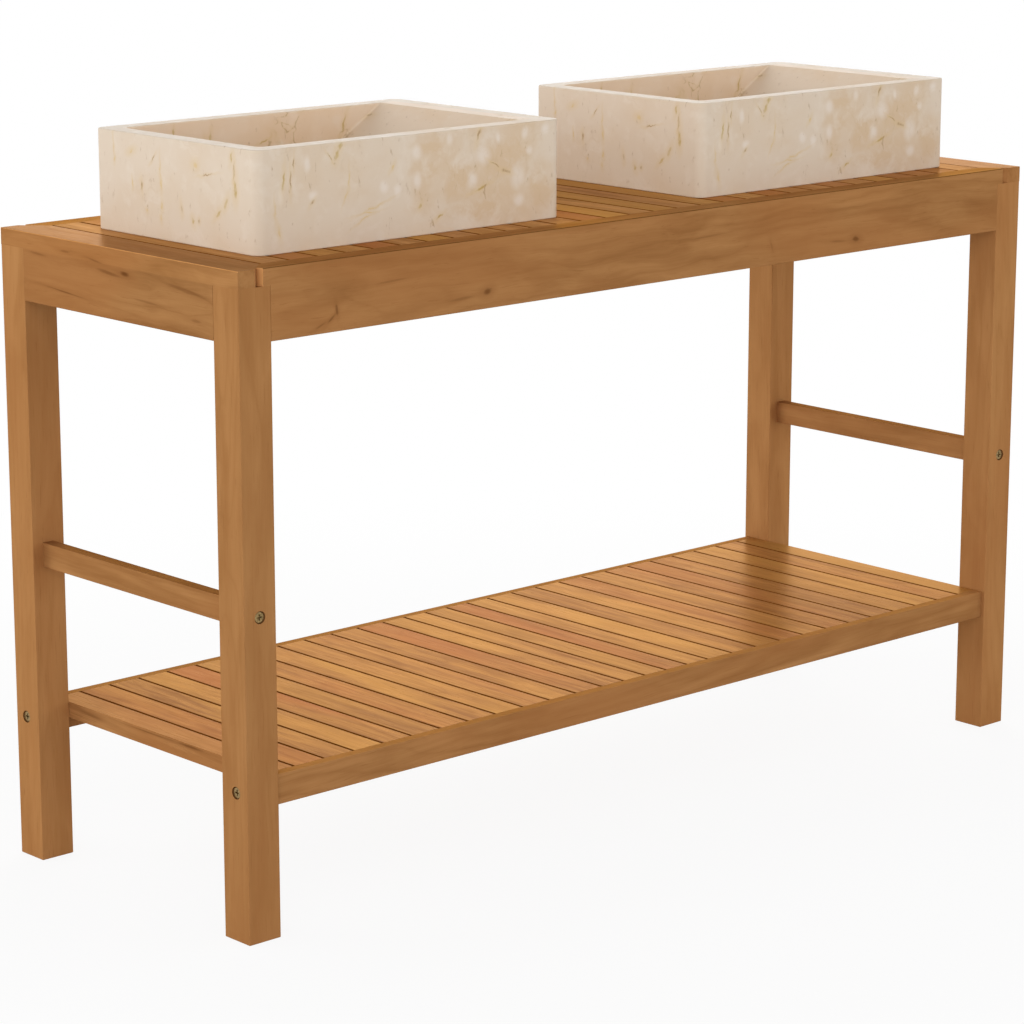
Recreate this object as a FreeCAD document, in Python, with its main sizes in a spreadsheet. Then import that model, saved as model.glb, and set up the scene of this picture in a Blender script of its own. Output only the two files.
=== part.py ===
import FreeCAD, Part
import Sketcher
import math
import os
import re

# Double vanity unit: a slatted wooden stand with a shelf, and two stone sinks that stand on it.
# Millimetres. The origin is on the floor at the middle of the stand, +X to the right, +Y to the back.

SIZES = (
    ("unit_width", 1320, "width of the stand"),
    ("unit_depth", 450, "depth of the stand"),
    ("stand_height", 770, "floor to the slatted top"),
    ("leg_side", 45, "side of the square legs"),
    ("leg_edge_round", 0.8, "rounding of the upright leg edges"),
    ("leg_foot_chamfer", 0.6, "chamfer round the foot of a leg"),
    ("board_edge_round", 1, "rounding of the open long edges of boards"),
    ("slat_edge_round", 0.3, "rounding of the long upper edges of slats"),
    ("slat_gap", 2.2, "gap between neighbouring slats"),
    ("slat_end_gap", 0.4, "gap between the end of a slat and its rail"),
    ("top_thickness", 20, "thickness of the top frame"),
    ("top_end_width", 52, "width of the end boards of the top frame"),
    ("top_rail_width", 28, "visible width of the front and back rails of the top"),
    ("top_ledge", 10, "ledge of a top rail under the slat ends"),
    ("top_slat_thickness", 12, "thickness of the top slats"),
    ("top_slat_count", 30, "number of slats in the top"),
    ("tip_depth", 8, "depth of the blunted tip of a mitred top rail"),
    ("tip_width", 3, "width of the blunted tip of a mitred top rail"),
    ("apron_height", 62, "height of the aprons"),
    ("apron_thickness", 20, "thickness of the aprons"),
    ("bearer_width", 30, "width of the bearers under the top slats"),
    ("bearer_height", 38, "height of the bearers"),
    ("bearer_spacing", 150, "distance between the middles of the bearers"),
    ("bearer_tenon", 10, "length of bearer let into an end apron"),
    ("tenon_clearance", 0.3, "clearance round the bearer ends"),
    ("block_height", 45, "height of the corner blocks"),
    ("block_thickness", 20, "thickness of the corner blocks"),
    ("leg_flat", 6, "flat on the inner leg edge, measured along each leg face"),
    ("bolt_diameter", 8, "hanger bolt"),
    ("bolt_bite", 25, "length of hanger bolt in the leg"),
    ("bolt_tail", 13, "length of hanger bolt past the corner block"),
    ("bolt_clearance", 0.6, "clearance on the bolt diameter"),
    ("washer_diameter", 20, "washer under the bolt nut"),
    ("washer_thickness", 1.6, "thickness of that washer"),
    ("nut_flats", 13, "width of the bolt nut across its flats"),
    ("nut_height", 6.5, "height of the bolt nut"),
    ("top_screw_diameter", 4.5, "screws through the corner blocks into the top"),
    ("top_screw_head", 9, "head diameter of those screws"),
    ("top_screw_head_height", 3, "head height of those screws"),
    ("top_screw_bite", 13, "length of those screws in the top frame"),
    ("top_screw_offset", 16, "distance of those screws from the middle of the block, along each apron"),
    ("rung_height", 30, "height of the side rungs"),
    ("rung_thickness", 16, "thickness of the side rungs"),
    ("rung_level", 365, "underside of the rungs above the floor"),
    ("shelf_level", 192, "shelf surface above the floor"),
    ("shelf_rail_height", 36, "height of the shelf rails"),
    ("shelf_rail_width", 30, "width of the shelf rails"),
    ("shelf_rail_setback", 5, "shelf rail face behind the outer leg face"),
    ("shelf_lip", 12, "part of a shelf rail left beside the slat ends"),
    ("shelf_slat_thickness", 10, "thickness of the shelf slats"),
    ("shelf_end_thickness", 20, "thickness of the first and last shelf slats"),
    ("shelf_narrow_slat", 35, "width of the end slats and of the middle slats of the shelf"),
    ("shelf_field_count", 11, "number of wide shelf slats on each side of the middle"),
    ("shelf_middle_count", 5, "number of narrow shelf slats in the middle"),
    ("screw_diameter", 7, "connecting screws of the rungs and the shelf"),
    ("screw_bite", 32, "length of connecting screw in the rung or rail"),
    ("screw_head", 12, "head diameter of the connecting screws"),
    ("screw_head_height", 4, "head height of the connecting screws"),
    ("screw_head_sink", 1.5, "connecting screw head below the leg face"),
    ("screw_counterbore", 14.4, "diameter of the recess round a screw head"),
    ("screw_clearance", 0.4, "clearance on screw diameters"),
    ("screw_cover", 2, "wood between a shelf screw and the slat above it"),
    ("cross_length", 7, "length of the cross recess in a screw head"),
    ("cross_width", 1.8, "width of the cross recess"),
    ("cross_depth", 2, "depth of the cross recess"),
    ("sink_length", 462, "length of a sink"),
    ("sink_width", 302, "front to back width of a sink"),
    ("sink_height", 118, "height of a sink"),
    ("sink_wall", 25, "wall of a sink at its rim"),
    ("sink_floor", 22, "stone under the basin"),
    ("sink_corner_round", 12, "rounding of the upright sink corners"),
    ("ramp_rim", 45, "width of the rim above the ramp of the basin"),
    ("ramp_run", 152, "length of the basin's ramp on plan"),
    ("basin_corner_round", 8, "rounding of the upright corners of the basin"),
    ("basin_round", 2.5, "rounding between the walls, the ramp and the bottom of the basin"),
    ("rim_round", 1.5, "rounding of the rim and of the foot of a sink"),
    ("drain_diameter", 45, "drain hole of a sink"),
    ("sink_spacing", 700, "distance between the middles of the sinks"),
    ("sink_forward", 8, "middle of the sinks in front of the middle of the stand"),
    ("drain_passage", 64, "hole for the waste through the slatted top"),
)

doc = FreeCAD.newDocument("DoubleVanity")
sheet = doc.addObject("Spreadsheet::Sheet", "Dimensions")
for row, (alias, value, meaning) in enumerate(SIZES, start=1):
    sheet.set("A%d" % row, meaning)
    sheet.set("B%d" % row, str(value))
    sheet.setAlias("B%d" % row, alias)
doc.recompute()

ALIASES = {alias for alias, value, meaning in SIZES}
NEAR = 0.001
SIDES = (("left", -1), ("right", 1))
ENDS = (("front", -1), ("back", 1))
WAYS = {
    "out_x": lambda point: abs(point.x),
    "out_y": lambda point: abs(point.y),
    "up": lambda point: point.z,
    "down": lambda point: -point.z,
}
pieces = []

# Formulas that several pieces share.
leg_height = "(stand_height - top_thickness)"
leg_bay = "(unit_width - 2 * leg_side)"
side_bay = "(unit_depth - 2 * leg_side)"
leg_middle_x = "(unit_width / 2 - leg_side / 2)"
leg_middle_y = "(unit_depth / 2 - leg_side / 2)"
apron_level = "(stand_height - top_thickness - apron_height)"
apron_inner_x = "(unit_width / 2 - apron_thickness)"
top_bay = "(unit_width - 2 * top_end_width)"
mitre_start = "(top_end_width - top_rail_width)"
top_slat_level = "(stand_height - top_slat_thickness)"
shelf_rail_level = "(shelf_level - shelf_rail_height)"
shelf_seat_level = "(shelf_level - shelf_slat_thickness)"
shelf_rail_outer = "(unit_depth / 2 - shelf_rail_setback)"
shelf_rail_inner = "(unit_depth / 2 - shelf_rail_setback - shelf_rail_width)"
shelf_slat_end = "(unit_depth / 2 - shelf_rail_setback - shelf_lip - slat_end_gap)"


def bound(formula):
    """The formula with each size's name pointed at its cell."""
    return re.sub(r"[a-z_]+", lambda word: cell_name(word.group(0)), formula)


def cell_name(word):
    return "Dimensions." + word if word in ALIASES else word


def bind(item, prop, formula):
    item.setExpression(prop, bound(formula))


def place(item, x="0", y="0", z="0"):
    """Place an object by formulas."""
    for axis, formula in zip("xyz", (x, y, z)):
        bind(item, "Placement.Base." + axis, formula)


def piece(item, label):
    """Name a finished sub-part and put it on the list of files."""
    item.Label = label
    pieces.append(item)
    return item


def new_body(name):
    return doc.addObject("PartDesign::Body", name)


def attach(sketch, body, plane):
    """Lay a sketch on one of the body's origin planes."""
    support = [item for item in body.Origin.OriginFeatures if item.Role == plane][0]
    sketch.AttachmentSupport = [(support, "")]
    sketch.MapMode = "FlatFace"


def outline(body, plane, corners):
    """Closed sketch on one of the body's origin planes, with each corner given by two formulas."""
    sketch = body.newObject("Sketcher::SketchObject", body.Name + "_outline")
    attach(sketch, body, plane)
    count = len(corners)
    turn = 2 * math.pi / count
    first = [FreeCAD.Vector(math.cos(i * turn), math.sin(i * turn), 0) for i in range(count)]
    for i in range(count):
        sketch.addGeometry(Part.LineSegment(first[i], first[(i + 1) % count]), False)
    for i in range(count):
        sketch.addConstraint(Sketcher.Constraint("Coincident", i, 2, (i + 1) % count, 1))
    for i, corner in enumerate(corners):
        for kind, start, formula in zip(("DistanceX", "DistanceY"), first[i], corner):
            index = sketch.addConstraint(Sketcher.Constraint(kind, -1, 1, i, 1, start))
            bind(sketch, "Constraints[%d]" % index, formula)
    return sketch


def pad(body, sketch, length, symmetric=False):
    """Solid made from a sketch, along the sketch's normal or to both sides of it."""
    feature = body.newObject("PartDesign::Pad", body.Name + "_pad")
    feature.Profile = sketch
    feature.SideType = "Symmetric" if symmetric else "One side"
    bind(feature, "Length", length)
    sketch.Visibility = False
    return feature


def round_edges(body, wanted, radius):
    """Fillet the edges of the body's last feature that the test picks."""
    doc.recompute()
    base = body.Tip
    names = ["Edge%d" % (i + 1) for i, edge in enumerate(base.Shape.Edges) if wanted(edge)]
    fillet = body.newObject("PartDesign::Fillet", body.Name + "_round")
    fillet.Base = (base, names)
    bind(fillet, "Radius", radius)
    return fillet


def straight_along(edge, axis):
    """True for a straight edge along an axis."""
    return edge.Curve.TypeId == "Part::GeomLine" and abs(getattr(edge.Curve.Direction, axis)) > 1 - NEAR


def furthest(body, along, ways=()):
    """Test for the straight edges along one axis that lie furthest in each of the ways given."""
    doc.recompute()
    points = [vertex.Point for vertex in body.Tip.Shape.Vertexes]
    reach = {way: max(WAYS[way](point) for point in points) for way in ways}

    def wanted(edge):
        at_limit = [WAYS[way](edge.CenterOfMass) > reach[way] - NEAR for way in ways]
        return straight_along(edge, along) and all(at_limit)
    return wanted


def chamfer_foot(body, size):
    """Chamfer round the lowest face of a body."""
    doc.recompute()
    base = body.Tip
    names = ["Face%d" % (i + 1) for i, face in enumerate(base.Shape.Faces) if face.BoundBox.ZMax < NEAR]
    chamfer = body.newObject("PartDesign::Chamfer", body.Name + "_foot")
    chamfer.Base = (base, names)
    bind(chamfer, "Size", size)


def rectangle(x, y, width, depth):
    """Corners of a rectangle about a middle point, as formulas."""
    spots = ((-1, -1), (1, -1), (1, 1), (-1, 1))
    return [("%s + %d * (%s) / 2" % (x, i, width), "%s + %d * (%s) / 2" % (y, j, depth)) for i, j in spots]


def plate(name, corners, thickness, level):
    """Body with the given plan, padded up from a level."""
    body = new_body(name)
    pad(body, outline(body, "XY_Plane", corners), thickness)
    place(body, z=level)
    return body


def board(name, middle, size, level, grain, radius="board_edge_round", ways=()):
    """Rectangular board with its long edges rounded, or only those that lie furthest in the ways given."""
    body = plate(name, rectangle("0", "0", size[0], size[1]), size[2], level)
    place(body, middle[0], middle[1], level)
    round_edges(body, furthest(body, grain, ways), radius)
    return body


def profile_along_x(name, corners, length, x="0"):
    """Body with a section in the YZ plane, as long as stated, about a middle point."""
    body = new_body(name)
    pad(body, outline(body, "YZ_Plane", corners), length, symmetric=True)
    place(body, x=x)
    return body


def turned(name, corners):
    """Body of revolution about Z, from (radius, height) corners."""
    body = new_body(name)
    sketch = outline(body, "XZ_Plane", corners)
    feature = body.newObject("PartDesign::Revolution", name + "_turn")
    feature.Profile = sketch
    feature.ReferenceAxis = (sketch, ["V_Axis"])
    feature.Angle = 360
    sketch.Visibility = False
    return body


def group(name, items):
    """Several separate solids in one object."""
    compound = doc.addObject("Part::Compound", name)
    compound.Links = items
    return compound


def without(name, base, tools):
    """The base with all the tools cut out of it."""
    cut = doc.addObject("Part::Cut", name)
    cut.Base = base
    cut.Tool = tools[0] if len(tools) == 1 else group(name + "_tools", tools)
    return cut


def turn(item, axis, degrees):
    item.Placement.Rotation = FreeCAD.Rotation(FreeCAD.Vector(*axis), degrees)


def screw_body(name, radius, head_radius, head_height, length):
    """Screw whose head face is at its origin and whose shank points down."""
    corners = [
        ("0", "0"),
        (head_radius, "0"),
        (head_radius, "-(%s)" % head_height),
        (radius, "-(%s)" % head_height),
        (radius, "-(%s)" % length),
        ("0", "-(%s)" % length),
    ]
    return turned(name, corners)


def cross_recess(body):
    """Cut the cross into the head of a connecting screw."""
    arm = "cross_length / 2"
    half = "cross_width / 2"
    upper = [
        (arm, "-" + half),
        (arm, half),
        (half, half),
        (half, arm),
        ("-" + half, arm),
        ("-" + half, half),
    ]
    corners = upper + [("-(%s)" % x, "-(%s)" % y) for x, y in upper]
    pocket = body.newObject("PartDesign::Pocket", body.Name + "_cross")
    pocket.Profile = outline(body, "XY_Plane", corners)
    bind(pocket, "Length", "cross_depth")


# Connecting screws. Each has a room, the recess and hole that it needs, which is cut from what it passes.
screw_reach = "(leg_side - screw_head_sink + screw_bite)"
SCREW_TURNS = {
    "front": ((1, 0, 0), 90),
    "back": ((1, 0, 0), -90),
    "left": ((0, 1, 0), -90),
    "right": ((0, 1, 0), 90),
}


def connecting_screw(name, towards, x, y, z):
    """A connecting screw and its room. The head is sunk into the leg face that the point is on."""
    screw = screw_body(name, "screw_diameter / 2", "screw_head / 2", "screw_head_height", screw_reach)
    cross_recess(screw)
    room_corners = [
        ("0", "screw_head_sink"),
        ("screw_counterbore / 2", "screw_head_sink"),
        ("screw_counterbore / 2", "-screw_head_height"),
        ("(screw_diameter + screw_clearance) / 2", "-screw_head_height"),
        ("(screw_diameter + screw_clearance) / 2", "-(%s + screw_clearance)" % screw_reach),
        ("0", "-(%s + screw_clearance)" % screw_reach),
    ]
    room = turned(name + "_room", room_corners)
    for item in (screw, room):
        turn(item, *SCREW_TURNS[towards])
        place(item, x, y, z)
    return screw, room


rung_middle = "(rung_level + rung_height / 2)"
shelf_screw_level = "(%s - screw_cover - screw_diameter / 2)" % shelf_seat_level
rung_screws = {}
shelf_screws = {}
for side, sx in SIDES:
    for end, sy in ENDS:
        name = end + "_" + side
        rung_screws[name] = connecting_screw(
            "rung_screw_" + name, end,
            "%d * %s" % (sx, leg_middle_x), "%d * (unit_depth / 2 - screw_head_sink)" % sy, rung_middle)
        shelf_screws[name] = connecting_screw(
            "shelf_screw_" + name, side,
            "%d * (unit_width / 2 - screw_head_sink)" % sx,
            "%d * (%s - shelf_rail_width / 2)" % (sy, shelf_rail_outer), shelf_screw_level)
piece(group("rung_screw_group", [screw for screw, room in rung_screws.values()]), "rung_screws")
piece(group("shelf_screw_group", [screw for screw, room in shelf_screws.values()]), "shelf_screws")

# Corner blocks, and the hanger bolts that draw the legs against them. Lengths along the bolt are measured
# from the flat on the leg, which lies across the corner at the height of the aprons.
flat_middle_x = "(unit_width / 2 - leg_side + leg_flat / 2)"
flat_middle_y = "(unit_depth / 2 - leg_side + leg_flat / 2)"
bolt_level = "(stand_height - top_thickness - block_height / 2)"
block_near = "(2 * leg_side - leg_flat - apron_thickness)"
block_far = "(%s + block_thickness * sqrt(2))" % block_near
block_level = "(%s - block_height)" % leg_height
block_middle = "(%s + %s + 2 * apron_thickness) / 4" % (block_near, block_far)
bolt_end = "-(block_thickness + bolt_tail)"
washer_top = "-block_thickness"
nut_top = "-(block_thickness + washer_thickness)"
nut_back = "(block_thickness + washer_thickness + nut_height) / sqrt(2)"
top_screw_length = "(top_screw_head_height + block_height + top_screw_bite)"
bolts = []
washers = []
nuts = []
top_screws = []
blocks = []
bolt_rooms = {}
leg_flats = {}
top_screw_rooms = {}


def corner_turn(side, end):
    """Rotation that lays Z along the corner's diagonal, pointing out of the stand."""
    out = FreeCAD.Vector(dict(SIDES)[side], dict(ENDS)[end], 0)
    return FreeCAD.Rotation(FreeCAD.Vector(0, 0, 1), out)


def from_corner(sx, sy, x, y):
    """A plan point measured in from the stand's outer corner."""
    return "%d * (unit_width / 2 - (%s))" % (sx, x), "%d * (unit_depth / 2 - (%s))" % (sy, y)


def rod(name, radius, bottom, top):
    return turned(name, [("0", bottom), (radius, bottom), (radius, top), ("0", top)])


for side, sx in SIDES:
    for end, sy in ENDS:
        name = end + "_" + side
        along = corner_turn(side, end)
        bolt = rod("leg_bolt_" + name, "bolt_diameter / 2", bolt_end, "bolt_bite")
        room = rod("leg_bolt_room_" + name, "(bolt_diameter + bolt_clearance) / 2", bolt_end,
                   "bolt_bite + bolt_clearance")
        washer_ring = rod("leg_washer_blank_" + name, "washer_diameter / 2", nut_top, washer_top)
        nut_blank = doc.addObject("Part::Prism", "leg_nut_blank_" + name)
        nut_blank.Polygon = 6
        bind(nut_blank, "Circumradius", "nut_flats / sqrt(3)")
        bind(nut_blank, "Height", "nut_height")
        for item in (bolt, room, washer_ring):
            item.Placement.Rotation = along
            place(item, "%d * %s" % (sx, flat_middle_x), "%d * %s" % (sy, flat_middle_y), bolt_level)
        nut_blank.Placement.Rotation = along
        place(nut_blank, "%d * (%s - %s)" % (sx, flat_middle_x, nut_back),
              "%d * (%s - %s)" % (sy, flat_middle_y, nut_back), bolt_level)
        bolts.append(bolt)
        bolt_rooms[name] = room
        washers.append(without("leg_washer_" + name, washer_ring, [room]))
        nuts.append(without("leg_nut_" + name, nut_blank, [room]))

        # The flat takes the inner edge off the leg, down to the underside of the aprons.
        corners = [
            ("leg_side - leg_flat", "leg_side"),
            ("leg_side", "leg_side"),
            ("leg_side", "leg_side - leg_flat"),
        ]
        corners = [from_corner(sx, sy, x, y) for x, y in corners]
        leg_flats[name] = plate("leg_flat_" + name, corners, "apron_height", apron_level)

        corners = [
            ("apron_thickness", block_near),
            (block_near, "apron_thickness"),
            (block_far, "apron_thickness"),
            ("apron_thickness", block_far),
        ]
        corners = [from_corner(sx, sy, x, y) for x, y in corners]
        blank = plate("corner_block_blank_" + name, corners, "block_height", block_level)
        screw = screw_body("top_screw_" + name, "top_screw_diameter / 2", "top_screw_head / 2",
                           "top_screw_head_height", top_screw_length)
        screw_room = rod("top_screw_room_" + name, "(top_screw_diameter + screw_clearance) / 2",
                         "-(%s + screw_clearance)" % top_screw_length, "-top_screw_head_height")
        spot = from_corner(sx, sy, block_middle + " - top_screw_offset",
                           block_middle + " + top_screw_offset")
        for item in (screw, screw_room):
            turn(item, (1, 0, 0), 180)
            place(item, spot[0], spot[1], "%s - top_screw_head_height" % block_level)
        top_screws.append(screw)
        top_screw_rooms[name] = screw_room
        blocks.append(without("corner_block_" + name, blank, [room, screw_room]))
piece(group("corner_block_group", blocks), "corner_blocks")
piece(group("leg_bolt_group", bolts), "leg_bolts")
piece(group("leg_washer_group", washers), "leg_washers")
piece(group("leg_nut_group", nuts), "leg_nuts")
piece(group("top_screw_group", top_screws), "top_screws")

# Legs, with the holes for their screws and bolts.
for side, sx in SIDES:
    for end, sy in ENDS:
        name = end + "_" + side
        blank = board("leg_blank_" + name, ("%d * %s" % (sx, leg_middle_x), "%d * %s" % (sy, leg_middle_y)),
                      ("leg_side", "leg_side", leg_height), "0", "z", "leg_edge_round")
        chamfer_foot(blank, "leg_foot_chamfer")
        tools = [rung_screws[name][1], shelf_screws[name][1], bolt_rooms[name], leg_flats[name]]
        piece(without("leg_cut_" + name, blank, tools), "leg_" + name)

# Aprons, flush with the legs. The end aprons are notched for the bearers.
bearer_bottom = "(%s - bearer_height)" % top_slat_level
for end, sy in ENDS:
    y = "%d * (unit_depth / 2 - apron_thickness / 2)" % sy
    size = (leg_bay, "apron_thickness", "apron_height")
    piece(board("apron_board_" + end, ("0", y), size, apron_level, "x", ways=["down"]), "apron_" + end)
for side, sx in SIDES:
    x = "%d * (unit_width / 2 - apron_thickness / 2)" % sx
    size = ("apron_thickness", side_bay, "apron_height")
    blank = board("apron_blank_" + side, (x, "0"), size, apron_level, "y", ways=["down"])
    notches = []
    for end, sy in ENDS:
        corners = rectangle("%d * %s" % (sx, apron_inner_x), "%d * bearer_spacing / 2" % sy,
                            "2 * (bearer_tenon + tenon_clearance)", "bearer_width + 2 * tenon_clearance")
        notch = plate("bearer_notch_%s_%s" % (side, end), corners, "stand_height", bearer_bottom)
        notches.append(notch)
    piece(without("apron_cut_" + side, blank, notches), "apron_" + side)

# Bearers under the top slats. Their ends are lowered to pass under the end boards.
bearer_half = "(%s + bearer_tenon)" % apron_inner_x
bearer_step = "(%s / 2 - tenon_clearance)" % top_bay
for end, sy in ENDS:
    right = [
        (bearer_half, bearer_bottom),
        (bearer_half, leg_height),
        (bearer_step, leg_height),
        (bearer_step, top_slat_level),
    ]
    left = [("-%s" % x, z) for x, z in reversed(right)]
    body = new_body("bearer_" + end)
    pad(body, outline(body, "XZ_Plane", right + left), "bearer_width", symmetric=True)
    place(body, y="%d * bearer_spacing / 2" % sy)
    piece(body, "top_bearer_" + end)

# Top frame: end boards with mitred shoulders, and rails with a ledge for the slats and blunted tips.
for side, sx in SIDES:
    corners = []
    for end, sy in ENDS:
        spots = [("0", "0"), (mitre_start, "0"), ("top_end_width", "top_rail_width")]
        spots = [from_corner(sx, sy, x, y) for x, y in spots]
        corners += spots if end == "front" else reversed(spots)
    blank = plate("top_end_blank_" + side, corners, "top_thickness", leg_height)
    round_edges(blank, furthest(blank, "y", ["out_x", "up"]), "board_edge_round")
    rooms = [top_screw_rooms[end + "_" + side] for end, sy in ENDS]
    piece(without("top_end_cut_" + side, blank, rooms), "top_end_" + side)

for end, sy in ENDS:
    corners = []
    for side, sx in SIDES:
        spots = [
            ("top_end_width", "top_rail_width"),
            (mitre_start + " + tip_depth", "tip_depth"),
            (mitre_start + " + tip_depth + tip_width", "0"),
        ]
        spots = [from_corner(sx, sy, x, y) for x, y in spots]
        corners += spots if side == "left" else reversed(spots)
    body = plate("top_rail_plate_" + end, corners, "top_thickness", leg_height)
    ledge_middle = "%d * (unit_depth / 2 - top_rail_width - top_ledge / 2)" % sy
    ledge = outline(body, "XY_Plane", rectangle("0", ledge_middle, top_bay, "top_ledge"))
    pad(body, ledge, "top_thickness - top_slat_thickness")
    round_edges(body, furthest(body, "x", ["out_y", "up"]), "board_edge_round")
    piece(body, "top_rail_" + end)

# Slats of the top, all alike, with a round passage for the waste of each sink.
top_slat_count = int(sheet.get("top_slat_count"))
top_slat_pitch = "((%s - slat_gap) / top_slat_count)" % top_bay
top_slat_length = "(unit_depth - 2 * (top_rail_width + slat_end_gap))"
top_slats = []
for i in range(top_slat_count):
    x = "-%s / 2 + slat_gap / 2 + (%d + 0.5) * %s" % (top_bay, i, top_slat_pitch)
    size = (top_slat_pitch + " - slat_gap", top_slat_length, "top_slat_thickness")
    slat = board("top_slat_%02d" % (i + 1), (x, "0"), size, top_slat_level, "y", "slat_edge_round", ["up"])
    top_slats.append(slat)
passages = []
for side, sx in SIDES:
    passage = doc.addObject("Part::Cylinder", "drain_passage_" + side)
    bind(passage, "Radius", "drain_passage / 2")
    bind(passage, "Height", "top_thickness")
    place(passage, "%d * sink_spacing / 2" % sx, "-sink_forward", leg_height)
    passages.append(passage)
piece(without("top_slat_group", group("top_slat_row", top_slats), passages), "top_slats")

# Side rungs between the front and back legs.
for side, sx in SIDES:
    blank = board("rung_blank_" + side, ("%d * %s" % (sx, leg_middle_x), "0"),
                  ("rung_thickness", side_bay, "rung_height"), "rung_level", "y")
    rooms = [rung_screws[end + "_" + side][1] for end, sy in ENDS]
    piece(without("rung_cut_" + side, blank, rooms), "rung_" + side)

# Shelf rails, each with a seat for the slat ends.
for end, sy in ENDS:
    corners = [
        (shelf_rail_outer, shelf_rail_level),
        (shelf_rail_outer, "shelf_level"),
        (shelf_rail_outer + " - shelf_lip", "shelf_level"),
        (shelf_rail_outer + " - shelf_lip", shelf_seat_level),
        (shelf_rail_inner, shelf_seat_level),
        (shelf_rail_inner, shelf_rail_level),
    ]
    corners = [("%d * (%s)" % (sy, y), z) for y, z in corners]
    blank = profile_along_x("shelf_rail_blank_" + end, corners, leg_bay)
    round_edges(blank, furthest(blank, "x", ["out_y"]), "board_edge_round")
    rooms = [shelf_screws[end + "_" + side][1] for side, sx in SIDES]
    piece(without("shelf_rail_cut_" + end, blank, rooms), "shelf_rail_" + end)

# Shelf slats: a narrow one at each end, narrow ones in the middle, and wide ones that fill what is left.
field_count = int(sheet.get("shelf_field_count"))
middle_count = int(sheet.get("shelf_middle_count"))
kinds = ["end"] + ["wide"] * field_count + ["narrow"] * middle_count + ["wide"] * field_count + ["end"]
narrow_total = "(shelf_middle_count + 2)"
wide_total = "(2 * shelf_field_count)"
shelf_gaps = "((%s + %s - 1) * slat_gap)" % (narrow_total, wide_total)
wide_slat = "((%s - %s - %s * shelf_narrow_slat) / %s)" % (leg_bay, shelf_gaps, narrow_total, wide_total)
for i, kind in enumerate(kinds):
    wide_before = kinds[:i].count("wide")
    narrow_before = i - wide_before
    width = wide_slat if kind == "wide" else "shelf_narrow_slat"
    x = "-%s / 2 + %d * (shelf_narrow_slat + slat_gap) + %d * (%s + slat_gap) + %s / 2" % (
        leg_bay, narrow_before, wide_before, wide_slat, width)
    label = "shelf_slat_%02d" % (i + 1)
    if kind == "end":
        lap = "(%s - slat_end_gap)" % shelf_rail_inner
        half = [
            (lap, "shelf_level - shelf_end_thickness"),
            (lap, shelf_seat_level),
            (shelf_slat_end, shelf_seat_level),
            (shelf_slat_end, "shelf_level"),
        ]
        corners = half + [("-" + y, z) for y, z in reversed(half)]
        slat = profile_along_x(label + "_body", corners, width, x)
        round_edges(slat, furthest(slat, "y", ["up"]), "slat_edge_round")
    else:
        size = (width, "2 * " + shelf_slat_end, "shelf_slat_thickness")
        slat = board(label + "_body", (x, "0"), size, shelf_seat_level, "y", "slat_edge_round", ["up"])
    piece(slat, label)


def circle(body, diameter):
    """Sketch of a circle about the body's origin."""
    sketch = body.newObject("Sketcher::SketchObject", body.Name + "_circle")
    attach(sketch, body, "XY_Plane")
    start = sheet.get(diameter)
    normal = FreeCAD.Vector(0, 0, 1)
    sketch.addGeometry(Part.Circle(FreeCAD.Vector(0, 0, 0), normal, start / 2), False)
    sketch.addConstraint(Sketcher.Constraint("Coincident", 0, 3, -1, 1))
    index = sketch.addConstraint(Sketcher.Constraint("Diameter", 0, start))
    bind(sketch, "Constraints[%d]" % index, diameter)
    return sketch


def pocket_through(body, name, sketch, length):
    """Cut a sketch out of the body, to both sides of the sketch's plane."""
    doc.recompute()
    before = body.Shape.Volume
    pocket = body.newObject("PartDesign::Pocket", body.Name + name)
    pocket.Profile = sketch
    pocket.SideType = "Symmetric"
    bind(pocket, "Length", length)
    doc.recompute()
    if body.Shape.Volume >= before:
        raise RuntimeError(body.Name + name + " cut nothing")


def inside_basin(edge):
    """Straight edges inside the basin, below the rim."""
    spot = edge.CenterOfMass
    inside_x = abs(spot.x) < sheet.get("sink_length") / 2 - NEAR
    inside_y = abs(spot.y) < sheet.get("sink_width") / 2 - NEAR
    below_rim = NEAR < spot.z < sheet.get("sink_height") - NEAR
    return inside_x and inside_y and below_rim and edge.Curve.TypeId == "Part::GeomLine"


def basin_corner(edge):
    """Upright edges of the basin."""
    return inside_basin(edge) and straight_along(edge, "z")


def basin_edge(edge):
    """Level and sloping edges of the basin."""
    return inside_basin(edge) and not straight_along(edge, "z")


def rim_or_foot_edge(edge):
    """Edges that lie in the plane of the rim or of the foot."""
    box = edge.BoundBox
    return box.ZMin > sheet.get("sink_height") - NEAR or box.ZMax < NEAR


# Stone sinks: a block with rounded corners, a basin with a ramp at its right end, and a drain hole.
for side, sx in SIDES:
    plan = rectangle("0", "0", "sink_length", "sink_width")
    stone = plate("sink_stone_" + side, plan, "sink_height", "stand_height")
    round_edges(stone, furthest(stone, "z"), "sink_corner_round")
    ramp_top = "(sink_length / 2 - ramp_rim)"
    left_wall = "(sink_wall - sink_length / 2)"
    corners = [
        (ramp_top + " - ramp_run", "sink_floor"),
        (ramp_top, "sink_height"),
        (left_wall, "sink_height"),
        (left_wall, "sink_floor"),
    ]
    pocket_through(stone, "_basin", outline(stone, "XZ_Plane", corners), "sink_width - 2 * sink_wall")
    round_edges(stone, basin_corner, "basin_corner_round")
    round_edges(stone, basin_edge, "basin_round")
    round_edges(stone, rim_or_foot_edge, "rim_round")
    pocket_through(stone, "_drain", circle(stone, "drain_diameter"), "2 * sink_height")
    place(stone, "%d * sink_spacing / 2" % sx, "-sink_forward", "stand_height")
    piece(stone, "sink_" + side)


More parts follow.
